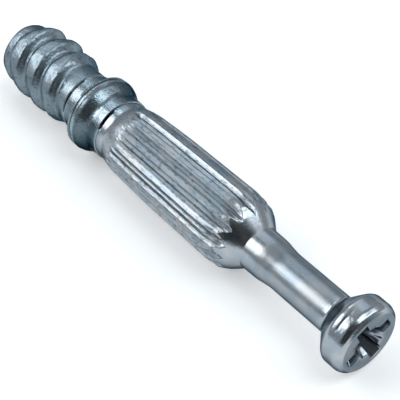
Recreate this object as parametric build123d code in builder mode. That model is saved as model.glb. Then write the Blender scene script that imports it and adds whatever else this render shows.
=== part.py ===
from build123d import *
import os
from math import pi, tan

os.makedirs("parts", exist_ok=True)

# Cam dowel, lying on its side: the axis runs along +X, the head is at +X.
# Sizes are in millimetres; stations along the axis are counted from the tip.

# Thread, right-handed, rolled on a core that ends in a plain neck: broad crowned ridges,
# gentle on the tip side and steep on the head side
core_radius = 2.64
tip_radius = 2.52
tip_bevel = 0.12
crest_radius = 3.3
crown_width = 0.5
crown_drop = 0.1
thread_pitch = 2.4
thread_full_length = 7.0
runout_length = 1.3
run_in_length = 1.2
crest_clearance = 0.05
tip_flank_length = 0.62
head_flank_length = 0.46
root_gap = 0.2
ridge_embed = 0.2
thread_start_angle = 172.0
neck_start = 9.4
neck_radius = 2.72
neck_edge = 0.08

# Collar: a thin rim that falls in a shallow cove to a ring
collar_start = 10.9
rim_radius = 3.48
rim_width = 0.7
rim_edge = 0.1
cove_length = 1.35
cove_sag = 0.05
ring_radius = 2.87
ring_length = 1.05

# Pressed groove ahead of the ribbed body
groove_depth = 0.28
groove_width = 0.26

# Body: a rising shoulder, a slow swell, the full body, a round nose and a flare
shoulder_start_radius = 2.79
shoulder_length = 2.54
shoulder_radius = 3.1
shoulder_bulge = 0.06
swell_length = 4.1
swell_radius = 3.24
body_length = 7.55
body_radius = 3.31
nose_bevel_length = 0.75
nose_bevel_radius = 3.21
nose_length = 0.7
nose_radius = 2.91
flare_length = 1.65
flare_sag = 0.06

# Ribs: straight V grooves all round the body
rib_count = 36
rib_depth = 0.26
groove_angle = 76.0
groove_clearance = 0.3

# Shank between body and head: a slightly fuller stretch, then plain
full_shank_length = 1.5
full_shank_radius = 1.9
shank_taper_length = 1.0
shank_radius = 1.69
shank_length = 6.2

# Head: cone, corner, barrel, an edge rounded by two bevels, and a flat face
cone_length = 1.2
cone_radius = 2.85
corner_length = 0.4
head_radius = 3.12
barrel_length = 0.95
edge_length = 0.42
edge_radius = 3.02
face_bevel_length = 0.39
face_radius = 2.66

# Cross recess in the face
recess_span = 4.44
recess_arm_width = 1.08
recess_depth = 1.9
recess_floor_span = 2.3
recess_floor_arm_width = 0.54
recess_core_radius = 1.42
recess_core_floor_radius = 0.62
recess_point_depth = 0.3
nick_reach = 1.62
nick_width = 0.22
nick_floor_reach = 0.9
nick_floor_width = 0.1
nick_depth = 0.9
recess_turn = 25.0

# Stations along the axis, from the tip
rim_end = collar_start + rim_width
cove_end = rim_end + cove_length
ring_end = cove_end + ring_length
groove_end = ring_end + groove_width
shoulder_end = groove_end + shoulder_length
swell_end = shoulder_end + swell_length
body_end = swell_end + body_length
nose_bevel_end = body_end + nose_bevel_length
nose_end = nose_bevel_end + nose_length
flare_end = nose_end + flare_length
full_shank_end = flare_end + full_shank_length
shank_start = full_shank_end + shank_taper_length
shank_end = shank_start + shank_length
cone_end = shank_end + cone_length
barrel_start = cone_end + corner_length
barrel_end = barrel_start + barrel_length
edge_end = barrel_end + edge_length
overall_length = edge_end + face_bevel_length

axis_height = rim_radius
tip_x = -overall_length / 2
dowel_axis = Axis((0, 0, axis_height), (1, 0, 0))
side_plane = Plane(origin=(tip_x, 0, axis_height), x_dir=(1, 0, 0), z_dir=(0, -1, 0))


def cross_plane(station):
    # a plane across the axis, with its x along +Y and its y along +Z
    return Plane(origin=(tip_x + station, 0, axis_height), x_dir=(0, 1, 0), z_dir=(1, 0, 0))


def bulged(start, end, bulge):
    # the middle point of a shallow arc between two outline points
    run = end[0] - start[0]
    rise = end[1] - start[1]
    chord = (run**2 + rise**2) ** 0.5
    middle_x = (start[0] + end[0]) / 2 - bulge * rise / chord
    middle_y = (start[1] + end[1]) / 2 + bulge * run / chord
    return (middle_x, middle_y)


def arc_between(start, end, bulge):
    return ThreePointArc(start, bulged(start, end, bulge), end)


crest_width = thread_pitch - root_gap - tip_flank_length - head_flank_length
crest_half_width = crest_width / 2
crown_half_width = crown_width / 2
crest_height = crest_radius - core_radius
tip_foot = crest_half_width + tip_flank_length
head_foot = crest_half_width + head_flank_length
ridge_start = -thread_pitch * (1 + (thread_start_angle - 90) / 360)
runout_end = thread_full_length + runout_length
ridge_turns = (runout_end - ridge_start) / thread_pitch + 1

with BuildPart() as dowel:
    # The thread ridge runs past both ends and is then cut to its run-in and run-out
    with BuildLine() as ridge_path:
        Helix(
            pitch=thread_pitch,
            height=ridge_turns * thread_pitch,
            radius=core_radius,
            center=(tip_x + ridge_start, 0, axis_height),
            direction=(1, 0, 0),
        )
    ridge_plane = Plane(origin=ridge_path.line @ 0, x_dir=(0, 0, 1), z_dir=ridge_path.line % 0)
    with BuildSketch(ridge_plane) as ridge_section:
        Polygon(
            (crest_height, -crown_half_width),
            (crest_height - crown_drop, -crest_half_width),
            (0, -head_foot),
            (-ridge_embed, -head_foot),
            (-ridge_embed, tip_foot),
            (0, tip_foot),
            (crest_height - crown_drop, crest_half_width),
            (crest_height, crown_half_width),
            align=None,
        )
    sweep(is_frenet=True)
    with BuildSketch(side_plane) as thread_limits:
        Polygon(
            (0, 0),
            (0, core_radius),
            (run_in_length, crest_radius + crest_clearance),
            (thread_full_length, crest_radius + crest_clearance),
            (runout_end, core_radius),
            (runout_end, 0),
            align=None,
        )
    revolve(axis=dowel_axis, mode=Mode.INTERSECT)

    # The outline revolved about the axis, from the tip to the face of the head
    with BuildSketch(side_plane) as outline:
        with BuildLine():
            rim_corner = (rim_end, rim_radius - rim_edge)
            ring_start = (cove_end, ring_radius)
            shoulder_start = (groove_end, shoulder_start_radius)
            shoulder_stop = (shoulder_end, shoulder_radius)
            nose_stop = (nose_end, nose_radius)
            flare_stop = (flare_end, full_shank_radius)
            Polyline(
                (0, 0),
                (0, tip_radius),
                (tip_bevel, core_radius),
                (neck_start, core_radius),
                (neck_start + neck_edge, neck_radius),
                (collar_start, neck_radius),
                (collar_start, rim_radius - rim_edge),
                (collar_start + rim_edge, rim_radius),
                (rim_end - rim_edge, rim_radius),
                rim_corner,
            )
            arc_between(rim_corner, ring_start, -cove_sag)
            Polyline(
                ring_start,
                (ring_end, ring_radius),
                (ring_end + groove_width / 2, ring_radius - groove_depth),
                shoulder_start,
            )
            arc_between(shoulder_start, shoulder_stop, shoulder_bulge)
            Polyline(
                shoulder_stop,
                (swell_end, swell_radius),
                (body_end, body_radius),
                (nose_bevel_end, nose_bevel_radius),
                nose_stop,
            )
            arc_between(nose_stop, flare_stop, -flare_sag)
            Polyline(
                flare_stop,
                (full_shank_end, full_shank_radius),
                (shank_start, shank_radius),
                (shank_end, shank_radius),
                (cone_end, cone_radius),
                (barrel_start, head_radius),
                (barrel_end, head_radius),
                (edge_end, edge_radius),
                (overall_length, face_radius),
                (overall_length, 0),
                (0, 0),
            )
        make_face()
    revolve(axis=dowel_axis)

    # Ribs: the grooves fade out where the shoulder and the nose drop below their floor
    groove_floor = body_radius - rib_depth
    groove_height = rib_depth + groove_clearance
    groove_half_width = groove_height * tan(groove_angle / 2 * pi / 180)
    with BuildSketch(cross_plane(groove_end)) as rib_grooves:
        with PolarLocations(groove_floor, rib_count, start_angle=-90):
            Polygon(
                (0, 0),
                (groove_height, -groove_half_width),
                (groove_height, groove_half_width),
                align=None,
            )
    extrude(amount=nose_end - groove_end, mode=Mode.SUBTRACT)

    # Cross recess: four tapered arms, four diagonal nicks and a pointed round core
    with BuildSketch(cross_plane(overall_length)) as arms_mouth:
        for quarter in range(2):
            Rectangle(recess_span, recess_arm_width, rotation=recess_turn + 90 * quarter)
    with BuildSketch(cross_plane(overall_length - recess_depth)) as arms_floor:
        for quarter in range(2):
            Rectangle(
                recess_floor_span, recess_floor_arm_width, rotation=recess_turn + 90 * quarter
            )
    loft(mode=Mode.SUBTRACT)
    with BuildSketch(cross_plane(overall_length)) as nicks_mouth:
        for quarter in range(2):
            Rectangle(2 * nick_reach, nick_width, rotation=recess_turn + 45 + 90 * quarter)
    with BuildSketch(cross_plane(overall_length - nick_depth)) as nicks_floor:
        for quarter in range(2):
            Rectangle(
                2 * nick_floor_reach, nick_floor_width, rotation=recess_turn + 45 + 90 * quarter
            )
    loft(mode=Mode.SUBTRACT)
    with BuildSketch(side_plane) as recess_core:
        with BuildLine():
            Polyline(
                (overall_length, 0),
                (overall_length, recess_core_radius),
                (overall_length - recess_depth, recess_core_floor_radius),
                (overall_length - recess_depth - recess_point_depth, 0),
                close=True,
            )
        make_face()
    revolve(axis=dowel_axis, mode=Mode.SUBTRACT)

dowel.part.label = "dowel"
export_step(dowel.part, "parts/dowel.step")
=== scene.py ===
import random
from bisect import bisect_right
from math import cos, exp, floor, pi, radians, sin, sqrt

import bpy
from mathutils import Matrix, Vector, noise


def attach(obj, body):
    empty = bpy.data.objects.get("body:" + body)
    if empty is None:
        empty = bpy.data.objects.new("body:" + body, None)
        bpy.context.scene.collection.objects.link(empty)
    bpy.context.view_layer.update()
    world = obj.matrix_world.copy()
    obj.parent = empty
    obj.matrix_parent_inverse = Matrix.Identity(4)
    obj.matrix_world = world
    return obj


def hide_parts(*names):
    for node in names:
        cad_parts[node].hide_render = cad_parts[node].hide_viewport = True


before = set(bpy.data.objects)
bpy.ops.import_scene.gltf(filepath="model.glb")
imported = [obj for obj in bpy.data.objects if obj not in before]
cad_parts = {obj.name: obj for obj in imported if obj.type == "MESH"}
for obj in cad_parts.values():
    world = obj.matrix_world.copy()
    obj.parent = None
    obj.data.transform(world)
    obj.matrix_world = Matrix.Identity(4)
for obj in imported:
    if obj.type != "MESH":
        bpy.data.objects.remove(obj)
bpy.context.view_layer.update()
print("frame loaded")

mm = 0.001


# Shader building: a wire is a socket that does sums, a bench adds nodes to one tree

class Wire:
    def __init__(self, bench, socket):
        self.bench = bench
        self.socket = socket

    def sums(self, operation, a, b):
        return self.bench.node("ShaderNodeMath", dict(operation=operation), {0: a, 1: b})

    def __add__(self, other):
        return self.sums("ADD", self, other)

    def __radd__(self, other):
        return self.sums("ADD", other, self)

    def __sub__(self, other):
        return self.sums("SUBTRACT", self, other)

    def __rsub__(self, other):
        return self.sums("SUBTRACT", other, self)

    def __mul__(self, other):
        return self.sums("MULTIPLY", self, other)

    def __rmul__(self, other):
        return self.sums("MULTIPLY", other, self)

    def atMost(self, other):
        return self.sums("MINIMUM", self, other)

    def atLeast(self, other):
        return self.sums("MAXIMUM", self, other)

    def between(self, low, high):    # 0 below low, 1 above high, soft in the middle
        settings = dict(interpolation_type="SMOOTHSTEP")
        return self.bench.node("ShaderNodeMapRange", settings, {0: self, 1: low, 2: high})

    def within(self, low, full, fullEnd, high):    # 1 from full to fullEnd, 0 outside low and high
        return self.between(low, full) * (1 - self.between(fullEnd, high))


class Bench:
    def __init__(self, tree):
        self.tree = tree
        tree.nodes.clear()

    def node(self, kind, settings=None, sockets=None, out=0):
        made = self.tree.nodes.new(kind)
        for name, value in (settings or {}).items():
            setattr(made, name, value)
        for key, value in (sockets or {}).items():
            if isinstance(value, Wire):
                self.tree.links.new(value.socket, made.inputs[key])
            else:
                made.inputs[key].default_value = value
        return Wire(self, made.outputs[out]) if len(made.outputs) else made

    def blend(self, amount, a, b):    # colours only
        return self.node("ShaderNodeMix", dict(data_type="RGBA"), {0: amount, 6: a, 7: b}, 2)

    def grain(self, place, scale, detail, rough=0.5, stretch=None):
        if stretch:
            place = self.node("ShaderNodeVectorMath", dict(operation="MULTIPLY"), {0: place, 1: stretch})
        sockets = {"Vector": place, "Scale": scale, "Detail": detail, "Roughness": rough}
        return self.node("ShaderNodeTexNoise", None, sockets)


# Soft steps, curves and bumps that all forms use

def mixed(a, b, t):
    return a + (b - a) * t


def smooth(low, high, value):
    t = min(max((value - low) / (high - low), 0.0), 1.0)
    return t * t * (3 - 2 * t)


def within(value, low, full, fullEnd, high):
    # 1 from full to fullEnd, 0 outside low and high
    return smooth(low, full, value) * (1 - smooth(fullEnd, high, value))


def nearTo(azimuth, middle, spread):
    # 1 at the middle azimuth, fading on both sides
    off = (azimuth - middle + 180) % 360 - 180
    return exp(-(off / spread) ** 2)


def alongCurve(points, at):
    # smooth curve through points, level where it turns
    number = min(max(bisect_right([place for place, value in points], at) - 1, 0), len(points) - 2)
    (startPlace, startValue), (endPlace, endValue) = points[number], points[number + 1]
    span = endPlace - startPlace
    t = (at - startPlace) / span

    def slopeAt(which):
        if which in (0, len(points) - 1):
            return 0.0
        (p0, v0), (p1, v1), (p2, v2) = points[which - 1:which + 2]
        before, after = (v1 - v0) / (p1 - p0), (v2 - v1) / (p2 - p1)
        return 0.0 if before * after <= 0 else 2 * before * after / (before + after)

    startSlope, endSlope = slopeAt(number) * span, slopeAt(number + 1) * span
    return ((2 * t**3 - 3 * t**2 + 1) * startValue + (t**3 - 2 * t**2 + t) * startSlope
            + (3 * t**2 - 2 * t**3) * endValue + (t**3 - t**2) * endSlope)


noiseShift = (1.0, 0.37, -1.0)    # the seed moves the noise along this, to another part of it


def bumpy(station, azimuth, radius, bumps):
    turn = radians(azimuth)
    place = Vector((station * bumps["along"], radius * cos(turn), radius * sin(turn))) * bumps["scale"]
    shift = Vector([bumps["seed"] * part for part in noiseShift])
    return bumps["height"] * noise.noise(place + shift)


def isOn(station, form):
    return form["span"][0] < station < form["span"][1]


# The dowel: stations in mm from the tip, azimuths in degrees from +Y towards +Z,
# so that the near side of the main view is at about 124

dowel = dict(
    length=43.61,
    axisHeight=3.48,
    # station, radius, rows to the next corner, bulge on the way there
    outline=[
        # core of the thread, then the groove at its end
        (0.0, 2.5, 1, 0), (0.06, 2.62, 2, 0), (0.3, 2.64, 82, 0), (9.08, 2.64, 1, 0),
        (9.13, 2.57, 1, 0), (9.18, 2.36, 2, 0), (9.4, 2.36, 2, 0), (9.44, 2.6, 2, 0),
        # neck
        (9.5, 2.74, 12, 0), (10.84, 2.74, 1, 0),
        # rim with its groove
        (10.9, 2.8, 4, 0), (10.9, 3.38, 1, 0), (10.93, 3.44, 1, 0), (11.0, 3.48, 1, 0),
        (11.12, 3.48, 1, 0), (11.18, 3.4, 1, 0), (11.3, 3.4, 1, 0), (11.36, 3.48, 1, 0),
        # cove and ring
        (11.54, 3.48, 1, 0), (11.6, 3.45, 4, 0.01), (11.92, 3.37, 7, 0), (12.66, 2.96, 3, -0.01),
        (12.98, 2.865, 8, 0), (13.96, 2.87, 1, 0),
        # groove ahead of the body
        (14.0, 2.8, 1, 0), (14.03, 2.54, 2, 0), (14.2, 2.54, 1, 0), (14.22, 2.74, 1, 0),
        # body with its shoulder and nose
        (14.27, 2.79, 4, 0), (14.92, 2.8, 9, 0.03), (16.2, 3.04, 6, 0.01), (16.8, 3.1, 9, 0.02),
        (20.9, 3.25, 14, 0), (28.45, 3.32, 12, 0.01), (29.5, 3.23, 6, 0.01), (29.85, 3.08, 8, 0.01),
        # flare and shank
        (30.4, 2.79, 10, 0.01), (31.52, 1.92, 5, 0), (33.05, 1.885, 3, 0), (33.35, 1.858, 2, 0),
        (33.7, 1.795, 4, 0), (34.5, 1.69, 11, 0), (40.15, 1.69, 1, 0),
        # head
        (40.25, 1.69, 2, -0.01), (40.46, 1.8, 6, 0.01), (41.43, 2.83, 4, 0.03), (41.84, 3.11, 2, 0.01),
        (42.12, 3.12, 1, 0), (42.22, 3.12, 1, 0), (42.28, 3.09, 2, 0), (42.38, 3.12, 3, 0),
        (42.78, 3.12, 5, 0.03), (43.18, 3.03, 5, 0.05), (43.5, 2.78, 2, 0.01), (43.61, 2.66, 0, 0),
    ],
    # the cut end is a little hollow
    tipHollow=0.03, tipRings=(0.3, 0.6, 0.85),
    # widest and closest columns of the mesh, in degrees
    columnStep=1.5, closestColumns=0.3,
    sharpAngle=30,
    # the skin is a little uneven from the end of the thread to the face
    skinSpan=(9.0, 43.0),
    skinBumps=dict(height=0.006, along=0.5, scale=1.4, seed=5.0),
)


def outlineRows(corners):
    rows = []
    for (station, radius, steps, bulge), (nextStation, nextRadius, *_) in zip(corners, corners[1:]):
        run, rise = nextStation - station, nextRadius - radius
        chord = sqrt(run * run + rise * rise)
        for step in range(steps):
            t = step / steps
            out = 4 * bulge * t * (1 - t)
            rows.append((station + run * t - out * rise / chord, radius + rise * t + out * run / chord))
    rows.append(corners[-1][:2])
    return rows


# Thread

threadForm = dict(
    core=2.64, crest=3.35, pitch=2.4,
    startAzimuth=32.0,    # where the root would leave the tip if it didn't wobble
    nearAzimuth=124.0,
    wobble=0.42,    # how far the ridge lags behind at the two sides
    # share of a pitch behind the root, share of the full height
    section=[
        (0.0, 0.0), (0.06, 0.03), (0.14, 0.3), (0.24, 0.66), (0.34, 0.87), (0.44, 0.975), (0.52, 1.0),
        (0.6, 0.97), (0.7, 0.85), (0.79, 0.62), (0.87, 0.3), (0.94, 0.06), (1.0, 0.0),
    ],
    # the ridge is flattened on the near side and narrower away from it
    flatSpread=60.0, flatLevel=0.7, knee=0.06, sideSharpness=2.2,
    # at the back it is a little higher, starts later and ends earlier
    backAzimuth=34.0, backSpread=60.0, lean=0.09, lateStart=0.7, earlyEnd=1.2,
    runInStart=-0.1, runIn=1.5, fullLength=7.0, runout=1.35,
    # a low lip just behind the tip
    lipAzimuth=95.0, lipSpread=24.0, lipHeight=0.2, lipSpan=(-0.2, 0.35, 1.0, 1.5),
    bevelEnd=0.05,
    # the ridge is a little uneven, its foot isn't
    bumpRadius=3.0, bumpsFade=(0.02, 0.3),
    bumps=[
        dict(height=0.03, along=1.0, scale=1.5, seed=3.1),
        dict(height=0.015, along=1.0, scale=3.4, seed=6.2),
    ],
    # painted shade between the turns
    rootShade=0.2, rootShadeFade=(0.0, 0.35),
)


def ridgeHeight(station, azimuth, form):
    lag = form["wobble"] * sin(radians(azimuth - form["nearAzimuth"])) ** 2
    turns = (station - lag) / form["pitch"] - (azimuth - form["startAzimuth"]) / 360
    lobe = alongCurve(form["section"], turns - floor(turns))
    atFront = nearTo(azimuth, form["nearAzimuth"], form["flatSpread"])
    atBack = nearTo(azimuth, form["backAzimuth"], form["backSpread"])
    lobe **= 1 + form["sideSharpness"] * (1 - atFront)
    over = lobe - mixed(1.0, form["flatLevel"], atFront) + form["knee"]
    if over > 0:
        lobe += form["knee"] * (1 - exp(-over / form["knee"])) - over
    full = form["crest"] + form["lean"] * cos(radians(azimuth - form["backAzimuth"])) - form["core"]
    late = form["lateStart"] * atBack
    rise = smooth(late + form["runInStart"], form["runIn"] + late, station)
    end = form["fullLength"] + form["runout"] - form["earlyEnd"] * atBack
    fall = min(1.0, max(0.0, (end - station) / form["runout"]))
    lip = form["lipHeight"] * nearTo(azimuth, form["lipAzimuth"], form["lipSpread"])
    lip *= within(station, *form["lipSpan"])
    return max(full * min(lobe, fall) * rise, lip)


def threadSkin(station, radius, azimuth, form):
    height = ridgeHeight(station, azimuth, form)
    if station > form["bevelEnd"]:
        uneven = sum(bumpy(station, azimuth, form["bumpRadius"], bumps) for bumps in form["bumps"])
        radius = max(radius, form["core"] + height + uneven * smooth(*form["bumpsFade"], height))
    # painted shade, strongest at the foot of the ridge
    return radius, form["rootShade"] * (1 - smooth(*form["rootShadeFade"], height))


# Ribs of the body

ribForm = dict(
    # each rib from the first crest on: azimuth of its groove, depth of the groove,
    # azimuth of the next crest
    firstCrest=58.0,
    ribs=[
        (64.6, 0.05, 65.5), (73.0, 0.05, 74.4), (79.6, 0.34, 86.4), (91.6, 0.05, 93.6),
        (98.6, 0.045, 100.4), (101.8, 0.01, 102.9), (104.0, 0.11, 108.6), (109.8, 0.11, 114.6),
        (116.6, 0.17, 126.0), (128.3, 0.14, 133.2), (135.4, 0.13, 136.5), (141.0, 0.11, 148.8),
        (152.5, 0.17, 155.5), (162.8, 0.2, 168.3), (170.0, 0.2, 176.5), (178.0, 0.1, 181.8),
        (184.0, 0.26, 189.5), (191.0, 0.24, 196.5), (198.0, 0.1, 199.5),
    ],
    # the ribs that the camera doesn't see, with a deep groove now and then
    hiddenPitch=8.2, grooveShare=(0.42, 0.6), hiddenDeep=(0.22, 0.28), hiddenShallow=(0.1, 0.18),
    deepEvery=3, seed=11,
    # the crests are a little blunt and the grooves a little round, in degrees to each side
    blunt=0.25, rounded=0.2,
    span=(14.5, 31.0),
    # deep grooves reach further up the shoulder than shallow ones
    deepStart=15.45, shallowStart=16.3, deepOrShallow=(0.12, 0.24), startLength=0.9,
    # on the nose the grooves get shallower and the ribs end in teeth
    noseStart=29.0, noseCrest=3.27, noseRamp=(28.0, 30.2), noseShallower=0.45,
    toothStart=79.5, toothPitch=25.714, toothDepth=0.47, toothRadius=3.3,
    toothBumps=dict(height=0.22, along=0.25, scale=1.5, seed=9.1),
    # painted shade low in the deep grooves
    grooveShade=0.6, grooveShadeFrom=(0.45, 1.0), grooveShadeDepth=(0.05, 0.2), leastDepth=0.01,
    # the ribs wander a little on their way along the body
    drift=0.6, driftAlong=0.16, driftRadius=3.0, driftSpan=(15.0, 19.0, 29.5, 31.0),
)


def allRibs(form):
    rng = random.Random(form["seed"])
    ribs = list(form["ribs"])
    last = ribs[-1][2]
    end = form["firstCrest"] + 360
    count = round((end - last) / form["hiddenPitch"])
    step = (end - last) / count
    for number in range(count):
        crest = last + step
        groove = crest - step * rng.uniform(*form["grooveShare"])
        depths = form["hiddenShallow" if number % form["deepEvery"] else "hiddenDeep"]
        ribs.append((groove, rng.uniform(*depths), crest))
        last = crest
    return ribs


def ribDepth(azimuth, ribs, form):
    # how deep the skin lies here, and how deep the groove is that it belongs to
    crest = form["firstCrest"]
    place = (azimuth - crest) % 360 + crest
    for groove, depth, following in ribs:
        if place <= following:
            if place < groove:
                return depth * (place - crest) / (groove - crest), depth
            return depth * (following - place) / (following - groove), depth
        crest = following
    return 0.0, 0.0


def ribSkin(station, radius, azimuth, depth, fullDepth, form):
    start = mixed(form["shallowStart"], form["deepStart"], smooth(*form["deepOrShallow"], fullDepth))
    depth *= smooth(start, start + form["startLength"], station)
    crest = radius if station < form["noseStart"] else form["noseCrest"]
    half = form["toothPitch"] / 2
    tooth = 1 - abs((azimuth - form["toothStart"] + half) % (2 * half) - half) / half
    tooth += bumpy(station, azimuth, form["toothRadius"], form["toothBumps"])
    ramp = smooth(*form["noseRamp"], station)
    cut = crest - depth * (1 - form["noseShallower"] * ramp) - form["toothDepth"] * tooth * ramp
    if cut >= radius:
        return radius, 0.0
    # painted shade, deepest at the bottom of the deep grooves
    low = smooth(*form["grooveShadeFrom"], depth / max(fullDepth, form["leastDepth"]))
    return cut, form["grooveShade"] * low * smooth(*form["grooveShadeDepth"], fullDepth)


def ribDrift(station, azimuth, form):
    strength = form["drift"] * within(station, *form["driftSpan"])
    if strength == 0:
        return 0.0
    turn = radians(azimuth)
    around = form["driftRadius"] * cos(turn), form["driftRadius"] * sin(turn)
    return strength * noise.noise(Vector((station * form["driftAlong"], *around)))


# Narrow grooves, marks, dents and painted shade

# cut deeper on the near side: span along the axis, azimuths from and to which it is deep,
# radius where it isn't, painted shade all round and where it is deep
grooves = [
    dict(span=(9.13, 9.3), deep=(86, 98, 168, 182), filled=2.62, shadeAll=0.0, paintedShade=0.7),
    dict(span=(9.3, 9.43), deep=(118, 136, 168, 182), filled=2.62, shadeAll=0.0, paintedShade=0.7),
    dict(span=(13.99, 14.21), deep=(97, 112, 135, 150), filled=2.75, shadeAll=0.1, paintedShade=0.6),
    dict(span=(42.2, 42.36), deep=(100, 110, 134, 144), filled=3.12, shadeAll=0.0, paintedShade=0.5),
]

# painted shade in the rim's groove
rimGroove = dict(span=(11.15, 11.33), paintedShade=0.85)

# painted shade of a short dent on the edge of the head: slant in degrees per mm, width in degrees to each
# side
headMark = dict(span=(42.36, 43.1), start=42.3, azimuth=108.5, slant=18, halfWidth=(0.6, 2.2), paintedShade=0.7)

# shallow dents on the neck, the rim and the ring
dents = dict(
    # strength, and where along the axis
    zones=[
        (1.0, (9.4, 9.6, 10.7, 10.85)),
        (2.4, (10.9, 11.0, 11.5, 11.6)),
        (1.0, (12.9, 13.1, 13.9, 14.0)),
    ],
    bumps=[
        dict(height=0.016, along=0.4, scale=1.9, seed=7.7),
        dict(height=0.0064, along=0.4, scale=4.2, seed=1.3),
    ],
)

# painted shade, blotchy, low on both sides of the thread, the neck, the cove and the ring
sideShade = dict(
    spans=[(-1.0, 9.1), (9.45, 13.99)],
    bumpRadius=3.2, bumps=dict(height=0.25, along=1.0, scale=0.9, seed=4.4),
    # azimuths between which it fades, and how far the bumps shift them
    near=(136, 158), nearShift=30, nearShade=0.9,
    far=(78, 94), farShift=20, farShade=0.6,
    # underneath, the near side gives way to the far one
    under=(225, 250), underFrom=200,
    onThread=0.45, threadFade=(9.0, 9.2),
    onNeck=0.6, neckSpan=(9.5, 9.7, 10.8, 10.9),
    coveSpan=(11.6, 11.75, 13.8, 14.1),
)


def sideShadeAt(station, azimuth, form):
    # painted shade by azimuth, broken up by bumps
    blotch = bumpy(station, azimuth, form["bumpRadius"], form["bumps"])
    under = smooth(*form["under"], azimuth)
    near = smooth(*form["near"], azimuth + form["nearShift"] * blotch) * (1 - under)
    far = under
    if azimuth < form["underFrom"]:
        far = 1 - smooth(*form["far"], azimuth + form["farShift"] * blotch)
    onThread = form["onThread"] * (1 - smooth(*form["threadFade"], station))
    onNeck = form["onNeck"] * within(station, *form["neckSpan"])
    inCove = within(station, *form["coveSpan"])
    return (form["nearShade"] * near + form["farShade"] * far) * (1 + blotch) * max(onThread, onNeck, inCove)


def skinRadius(station, radius, azimuth, depth, fullDepth):
    # radius of the skin at one spot, and how much shade is painted there
    paintedShade = 0.0
    if station < threadForm["fullLength"] + threadForm["runout"]:
        radius, paintedShade = threadSkin(station, radius, azimuth, threadForm)
    elif isOn(station, ribForm):
        radius, paintedShade = ribSkin(station, radius, azimuth, depth, fullDepth, ribForm)
    for groove in grooves:
        if isOn(station, groove):
            deep = within(azimuth, *groove["deep"])
            radius = mixed(max(radius, groove["filled"]), radius, deep)
            # painted shade in the groove, more where it is deep
            paintedShade = groove["shadeAll"] + groove["paintedShade"] * deep
    # painted shade on the two sides
    if any(start < station < end for start, end in sideShade["spans"]):
        paintedShade = max(paintedShade, sideShadeAt(station, azimuth, sideShade))
    if isOn(station, rimGroove):
        # painted shade in the rim's groove
        paintedShade = rimGroove["paintedShade"]
    if isOn(station, headMark):
        middle = headMark["azimuth"] + headMark["slant"] * (station - headMark["start"])
        # painted shade of the dent, a slanted stripe
        paintedShade = headMark["paintedShade"] * (1 - smooth(*headMark["halfWidth"], abs(azimuth - middle)))
    worked = max(strength * within(station, *zone) for strength, zone in dents["zones"])
    if worked > 0:
        radius += worked * sum(bumpy(station, azimuth, radius, bumps) for bumps in dents["bumps"])
    if dowel["skinSpan"][0] < station < dowel["skinSpan"][1]:
        radius += bumpy(station, azimuth, radius, dowel["skinBumps"])
    return radius, paintedShade


# Cross recess: four tapered arms, four diagonal nicks and a pointed round core

recessForm = dict(
    turn=25.0, depth=1.9, point=0.3,
    # each at the face and at its depth
    armReach=(2.22, 1.15), armHalf=(0.54, 0.27), core=(1.42, 0.62),
    nickReach=(1.62, 0.9), nickHalf=(0.11, 0.05), nickDepth=0.9,
    # columns of the mesh, in degrees from the middle of an arm and of a nick
    armColumns=(-22.4, -18, -14.0, -7, 0, 7, 14.0, 18, 22.4), nickColumns=(-4.4, 4.4),
    # rings of the mesh from the flat face in, each with its painted shade
    faceRings=(0.3, 0.65, 1.0),
    lip=0.09, lipTurns=(30, 60, 90), lipShade=0.1,
    mouthLevels=(0.3, 0.6, 0.9), mouthShade=0.35,
    deepLevels=(0.9, 1.2, 1.55, 1.9), deepShade=0.65,
    floorRadius=0.6, floorRings=(0.55, 0.25), floorShade=0.8,
    leastSine=1e-6,
)


def recessRadius(azimuth, level, withNick, form):
    share = level / form["depth"]
    reach = mixed(*form["armReach"], share)
    half = mixed(*form["armHalf"], share)
    off = radians((azimuth - form["turn"] + 45) % 90 - 45)
    side = half / max(abs(sin(off)), form["leastSine"])
    widest = max(mixed(*form["core"], share), min(side, reach / cos(off)))
    if withNick:
        share = min(level / form["nickDepth"], 1.0)
        nickOff = radians((azimuth - form["turn"]) % 90 - 45)
        nickSide = mixed(*form["nickHalf"], share) / max(abs(sin(nickOff)), form["leastSine"])
        widest = max(widest, min(nickSide, mixed(*form["nickReach"], share) / cos(nickOff)))
    return widest


def recessRings(angles, form):
    # from the flat face in to the mouth, round its edge and down to the point
    end = dowel["length"]
    faceRadius = dowel["outline"][-1][1]

    # each ring carries the painted shade at its depth
    def ringAt(level, out, withNick, paintedShade):
        return [(end - level, recessRadius(angle, level, withNick, form) + out, paintedShade) for angle in angles]

    mouth = [recessRadius(angle, 0, True, form) + form["lip"] for angle in angles]
    for share in form["faceRings"]:
        yield [(end, mixed(faceRadius, inner, share), 0.0) for inner in mouth]
    for turned in form["lipTurns"]:
        level = form["lip"] * (1 - cos(radians(turned)))
        out = form["lip"] * (1 - sin(radians(turned)))
        yield ringAt(level, out, True, form["lipShade"])
    for level in form["mouthLevels"]:
        yield ringAt(level, 0, True, form["mouthShade"])
    for level in form["deepLevels"]:
        yield ringAt(level, 0, False, form["deepShade"])
    for share in form["floorRings"]:
        station = end - form["depth"] - form["point"] * (1 - share)
        yield [(station, form["floorRadius"] * share, form["floorShade"])] * len(angles)


# Mesh of the whole dowel

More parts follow.
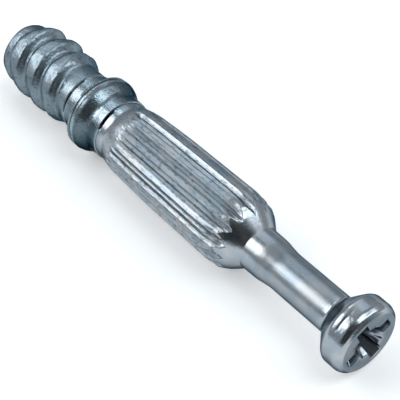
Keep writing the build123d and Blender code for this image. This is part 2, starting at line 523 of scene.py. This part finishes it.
def columnAngles(ribs):
    angles = set()
    crest = ribForm["firstCrest"]
    blunt, rounded = ribForm["blunt"], ribForm["rounded"]
    for groove, depth, following in ribs:
        for angle in (crest + blunt, groove - rounded, groove + rounded, following - blunt):
            angles.add(round(angle % 360, 3))
        crest = following
    for arm in range(4):
        middle = recessForm["turn"] + 90 * arm
        for off in recessForm["armColumns"]:
            angles.add(round((middle + off) % 360, 3))
        for off in recessForm["nickColumns"]:
            angles.add(round((middle + 45 + off) % 360, 3))
    ordered = sorted(angles)
    kept = [ordered[0]]
    for angle in ordered[1:]:
        if angle - kept[-1] > dowel["closestColumns"]:
            kept.append(angle)
    filled = []
    for angle, following in zip(kept, kept[1:] + [kept[0] + 360]):
        parts = max(1, round((following - angle) / dowel["columnStep"]))
        filled += [angle + (following - angle) * part / parts for part in range(parts)]
    return filled


def dowelRings(angles, ribs):
    # the cut end, the skin and the recess, as rings of station, radius and painted shade
    tipRadius = dowel["outline"][0][1]
    for share in dowel["tipRings"]:
        yield [(dowel["tipHollow"] * (1 - share), tipRadius * share, 0.0)] * len(angles)
    depths = [ribDepth(angle, ribs, ribForm) for angle in angles]
    for station, radius in outlineRows(dowel["outline"]):
        ring = []
        for angle, depth in zip(angles, depths):
            ring.append((station, *skinRadius(station, radius, angle, *depth)))
        yield ring
    yield from recessRings(angles, recessForm)


def buildDowel():
    ribs = allRibs(ribForm)
    angles = columnAngles(ribs)
    rings = list(dowelRings(angles, ribs))
    count = len(angles)
    tipX = -dowel["length"] / 2

    vertices, paintedShades = [], []
    for ring in rings:
        for angle, (station, radius, paintedShade) in zip(angles, ring):
            turn = radians(angle + ribDrift(station, angle, ribForm))
            vertices.append(((tipX + station) * mm, radius * cos(turn) * mm,
                             (dowel["axisHeight"] + radius * sin(turn)) * mm))
            paintedShades.append(paintedShade)
    tip, point = len(vertices), len(vertices) + 1
    pointStation = dowel["length"] - recessForm["depth"] - recessForm["point"]
    for station, paintedShade in ((dowel["tipHollow"], 0.0), (pointStation, recessForm["floorShade"])):
        vertices.append(((tipX + station) * mm, 0, dowel["axisHeight"] * mm))
        paintedShades.append(paintedShade)

    faces = []
    lastRing = (len(rings) - 1) * count
    for start in range(0, lastRing, count):
        following = start + count
        for number in range(count):
            beside = (number + 1) % count
            faces.append((start + number, start + beside, following + beside, following + number))
    for number in range(count):
        beside = (number + 1) % count
        faces.append((tip, beside, number))
        faces.append((point, lastRing + number, lastRing + beside))

    mesh = bpy.data.meshes.new("zincDowel")
    mesh.from_pydata(vertices, [], faces)
    mesh.validate()
    # painted shade, kept on the mesh for the zinc material
    attribute = mesh.attributes.new("paintedShade", "FLOAT", "POINT")
    attribute.data.foreach_set("value", paintedShades)
    mesh.shade_smooth()
    mesh.set_sharp_from_angle(angle=radians(dowel["sharpAngle"]))
    piece = bpy.data.objects.new("zincDowel", mesh)
    bpy.context.scene.collection.objects.link(piece)
    print("dowel mesh:", len(rings), "rings of", count)
    return piece


# Zinc plate: cool grey metal, a little uneven, with drawing and rolling marks, painted shade from the mesh
# and painted light under the head

zinc = dict(
    cool=(0.32, 0.375, 0.42, 1), warm=(0.42, 0.44, 0.46, 1), teal=(0.26, 0.34, 0.39, 1),
    # painted light: a paler colour brightens the dark reflection under the head
    paintedLightUnderHead=(0.62, 0.69, 0.75, 1),    # under the head
    # the stain colours take both real stains of the grain and the painted shade; the inky one is for the
    # head
    stain=(0.06, 0.09, 0.105, 1),
    headStainAndShade=(0.09, 0.105, 0.155, 1),    # in the recess and the marks of the head
    edgeTint=(0.10, 0.13, 0.15, 1),
    # zones along the axis, in mm from the tip
    middle=21.8,
    threadEnd=(8.8, 9.6), collar=(9.4, 9.6, 14.0, 14.8), body=(14.6, 16.4, 29.2, 30.2),
    shank=(32.4, 33.4, 39.6, 40.2), underHead=(40.2, 40.6, 41.2, 41.5), headStart=(41.0, 41.6),
    # grains: dashes, drawn lines and furrows run along the axis, rolled lines around it
    clouds=dict(scale=0.7, detail=3.0),
    specks=dict(scale=7.0, detail=2.0, rough=0.6),
    pits=dict(scale=3.6, detail=3.0, rough=0.65),
    dashes=dict(scale=5.0, detail=2.0, rough=0.6, stretch=(0.45, 1.0, 1.0)),
    drawn=dict(scale=7.0, detail=3.0, rough=0.6, stretch=(0.16, 1.0, 1.0)),
    rolled=dict(scale=5.0, detail=3.0, rough=0.6, stretch=(1.0, 0.22, 0.22)),
    furrows=dict(scale=3.6, detail=1.0, stretch=(0.04, 1.0, 1.0)),
    # colour: where the clouds turn warm, then how much teal and how much painted light under the head; a
    # pair is for thread and collar
    warmClouds=(0.35, 0.65), tealShare=(0.7, 0.6), paintedLightShare=0.8,
    # stain and painted shade: how strong the mesh's painted shade is, then from and to which value a grain
    # is stained, and how much
    meshShade=0.9, shankStain=0.19, mostStainAndShade=0.95,
    stainedSpecks=(0.62, 0.74), speckStain=0.2,
    stainedDashes=(0.54, 0.66), dashStain=0.55,
    stainedPits=(0.5, 0.66), pitStain=(0.3, 0.14),
    stainedClouds=(0.42, 0.6), cloudStain=(0.1, 0.25),
    # roughness of the metal, and what is added to it
    roughness=0.2, bodyRough=0.12, collarRough=0.02, shankRough=0.1, threadRough=0.1, headSmooth=0.02,
    grainMiddle=0.5, marksRough=0.14, cloudsRough=0.1, shadeRough=0.08,
    # relief
    marksHeight=0.6, specksHeight=0.25, cloudsHeight=0.5, furrowsHeight=0.8, dashesHeight=2.2,
    pitsHeight=(3.0, 1.8),
    bumpStrength=0.5, bumpDistance=0.00003,
)


def zincPlate():
    material = bpy.data.materials.new("zincPlate")
    material.use_nodes = True
    bench = Bench(material.node_tree)
    place = bench.node("ShaderNodeTexCoord", out=3)
    inMm = bench.node("ShaderNodeVectorMath", dict(operation="SCALE"), {0: place, "Scale": 1 / mm})
    station = bench.node("ShaderNodeSeparateXYZ", None, {0: inMm}) + zinc["middle"]
    # painted shade from the mesh: thread valleys, grooves, low sides, rim groove, head dent and recess
    paintedShade = bench.node("ShaderNodeAttribute", dict(attribute_name="paintedShade"), out=2)

    onThread = 1 - station.between(*zinc["threadEnd"])
    onCollar = station.within(*zinc["collar"])
    onBody = station.within(*zinc["body"])
    onShank = station.within(*zinc["shank"])
    underHead = station.within(*zinc["underHead"])
    onHead = station.between(*zinc["headStart"])

    def threadAndCollar(threadShare, collarShare):
        return onThread * threadShare + onCollar * collarShare

    clouds = bench.grain(inMm, **zinc["clouds"])
    specks = bench.grain(inMm, **zinc["specks"])
    pits = bench.grain(inMm, **zinc["pits"])
    dashes = bench.grain(inMm, **zinc["dashes"])
    furrows = bench.grain(inMm, **zinc["furrows"])
    drawn = bench.grain(inMm, **zinc["drawn"])
    rolled = bench.grain(inMm, **zinc["rolled"])
    marks = drawn * (1 - onThread) + rolled * onThread

    tone = bench.blend(clouds.between(*zinc["warmClouds"]), zinc["cool"], zinc["warm"])
    tone = bench.blend(threadAndCollar(*zinc["tealShare"]), tone, zinc["teal"])
    # painted light under the head
    tone = bench.blend(underHead * zinc["paintedLightShare"], tone, zinc["paintedLightUnderHead"])
    # painted shade from the mesh, added to the shank's tone and real stains of the grain
    stained = paintedShade * zinc["meshShade"] + onShank * zinc["shankStain"]
    stained = stained + specks.between(*zinc["stainedSpecks"]) * zinc["speckStain"]
    stained = stained + dashes.between(*zinc["stainedDashes"]) * onBody * zinc["dashStain"]
    stained = stained + pits.between(*zinc["stainedPits"]) * threadAndCollar(*zinc["pitStain"])
    stained = stained + clouds.between(*zinc["stainedClouds"]) * threadAndCollar(*zinc["cloudStain"])
    stain = bench.blend(onHead, zinc["stain"], zinc["headStainAndShade"])
    tone = bench.blend(stained.atMost(zinc["mostStainAndShade"]), tone, stain)

    rough = zinc["roughness"] + onBody * zinc["bodyRough"] + onCollar * zinc["collarRough"]
    rough = rough + onShank * zinc["shankRough"] + onThread * zinc["threadRough"]
    # a little rougher where shade is painted
    rough = rough - onHead * zinc["headSmooth"] + paintedShade * zinc["shadeRough"]
    rough = rough + (marks - zinc["grainMiddle"]) * zinc["marksRough"]
    rough = rough + (clouds - zinc["grainMiddle"]) * zinc["cloudsRough"]

    height = marks * zinc["marksHeight"] + specks * zinc["specksHeight"] + clouds * zinc["cloudsHeight"]
    height = height + furrows * onBody * zinc["furrowsHeight"] + dashes * onBody * zinc["dashesHeight"]
    height = height + pits * threadAndCollar(*zinc["pitsHeight"])
    bump = bench.node("ShaderNodeBump", None, {
        "Strength": zinc["bumpStrength"], "Distance": zinc["bumpDistance"], "Height": height,
    })
    shader = bench.node("ShaderNodeBsdfPrincipled", None, {
        "Base Color": tone, "Metallic": 1.0, "Roughness": rough, "Specular Tint": zinc["edgeTint"],
        "Normal": bump,
    })
    bench.node("ShaderNodeOutputMaterial", None, {0: shader})
    return material


piece = buildDowel()
piece.data.materials.append(zincPlate())
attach(piece, "root")
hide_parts("dowel")
print("dowel dressed")


# Studio: pale floor, soft grey room with darker parts, round soft lamps far away

studio = dict(
    floorColour=(0.93, 0.93, 0.93, 1),
    floorSize=12.0,
    floorGlow=0.34,    # only what the camera and the metal see of the floor
    room=(0.42, 0.45, 0.48, 1),
    lamps=[
        # name, azimuth from +X towards +Y, elevation, angle across, radiance, colour
        ("keyLampLow", -128, 30, 17, 3.2, (1.0, 1.0, 1.0)),
        ("keyLampMiddle", -136, 42, 17, 3.2, (1.0, 1.0, 1.0)),
        ("keyLampHigh", -149.5, 51.5, 17, 3.2, (1.0, 1.0, 1.0)),
        ("keyLampEnd", -115, 47.5, 18, 2.2, (1.0, 1.0, 1.0)),
        ("tipLampHigh", -156, 39.5, 10, 2.5, (0.95, 0.98, 1.0)),
        ("tipLampMiddle", -149, 34.5, 11, 2.5, (0.95, 0.98, 1.0)),
        ("tipLampLow", -143, 28.5, 9, 2.5, (0.95, 0.98, 1.0)),
        ("sideLampLow", 64, 40, 23, 2.3, (0.95, 0.98, 1.0)),
        ("sideLampMiddle", 46, 52, 23, 2.3, (0.95, 0.98, 1.0)),
        ("sideLampHigh", 15, 69, 26, 3.0, (0.84, 0.96, 1.0)),
        ("backLamp", 134, 45, 28, 0.65, (0.84, 0.92, 1.0)),
        ("backLampHigh", 163, 52, 14, 2.6, (0.84, 0.95, 1.0)),
    ],
    # darker parts of the room: azimuth, elevation, inner and outer half angle, depth
    shade=[(-56, 22, 23, 31, 0.87), (-20, 52, 15, 25, 0.85), (4, 14, 14, 30, 0.6), (-72, 57, 11, 19, 0.6)],
)


def heading(azimuth, elevation):
    a, e = radians(azimuth), radians(elevation)
    return Vector((cos(a) * cos(e), sin(a) * cos(e), sin(e)))


def addLamp(name, azimuth, elevation, across, radiance, colour):
    lamp = bpy.data.lights.new(name, "SUN")
    lamp.angle = radians(across)
    lamp.energy = radiance * pi * sin(radians(across / 2)) ** 2
    lamp.color = colour
    holder = bpy.data.objects.new(name, lamp)
    holder.rotation_mode = "QUATERNION"
    holder.rotation_quaternion = heading(azimuth, elevation).to_track_quat("Z", "Y")
    bpy.context.scene.collection.objects.link(holder)


def buildFloor():
    half = studio["floorSize"] / 2
    corners = [(-half, -half, 0), (half, -half, 0), (half, half, 0), (-half, half, 0)]
    mesh = bpy.data.meshes.new("floor")
    mesh.from_pydata(corners, [], [(0, 1, 2, 3)])
    floorPlane = bpy.data.objects.new("floor", mesh)
    bpy.context.scene.collection.objects.link(floorPlane)
    material = bpy.data.materials.new("paleFloor")
    material.use_nodes = True
    bench = Bench(material.node_tree)
    matt = bench.node("ShaderNodeBsdfDiffuse", None, {"Color": studio["floorColour"]})
    path = "ShaderNodeLightPath"
    seen = bench.node(path, out="Is Camera Ray").atLeast(bench.node(path, out="Is Glossy Ray"))
    seen = seen.atLeast(bench.node(path, out="Is Transmission Ray"))
    glow = bench.node("ShaderNodeEmission", None, {"Strength": seen * studio["floorGlow"]})
    both = bench.node("ShaderNodeAddShader", None, {0: matt, 1: glow})
    bench.node("ShaderNodeOutputMaterial", None, {0: both})
    mesh.materials.append(material)


def buildRoom():
    world = bpy.data.worlds.new("softRoom")
    bpy.context.scene.world = world
    world.use_nodes = True
    bench = Bench(world.node_tree)
    direction = bench.node("ShaderNodeTexCoord", out=0)
    light = None
    for azimuth, elevation, inner, outer, depth in studio["shade"]:
        facing = bench.node("ShaderNodeVectorMath", dict(operation="DOT_PRODUCT"),
                            {0: direction, 1: heading(azimuth, elevation)}, 1)
        kept = 1 - depth * facing.between(cos(radians(outer)), cos(radians(inner)))
        light = kept if light is None else light * kept
    surface = bench.node("ShaderNodeBackground", None, {"Color": studio["room"], "Strength": light})
    bench.node("ShaderNodeOutputWorld", None, {0: surface})


buildFloor()
buildRoom()
for lamp in studio["lamps"]:
    addLamp(*lamp)
print("studio ready")


# Camera at the photograph's angle, in metres

view = dict(
    place=(0.05770, -0.04590, 0.07660), right=(0.6404, 0.7681, 0.0), up=(-0.5493, 0.458, 0.699),
    lens=114.35, sensor=36.0, nearest=0.005, farthest=50.0,
)


def addCamera():
    camera = bpy.data.cameras.new("viewCamera")
    camera.lens = view["lens"]
    camera.sensor_width = view["sensor"]
    camera.clip_start = view["nearest"]
    camera.clip_end = view["farthest"]
    holder = bpy.data.objects.new("viewCamera", camera)
    bpy.context.scene.collection.objects.link(holder)
    right = Vector(view["right"]).normalized()
    back = right.cross(Vector(view["up"])).normalized()
    up = back.cross(right)
    holder.matrix_world = Matrix.LocRotScale(
        Vector(view["place"]), Matrix((right, up, back)).transposed().to_quaternion(), None)
    bpy.context.scene.camera = holder


addCamera()
bpy.context.scene.view_settings.view_transform = "Standard"
print("camera placed")
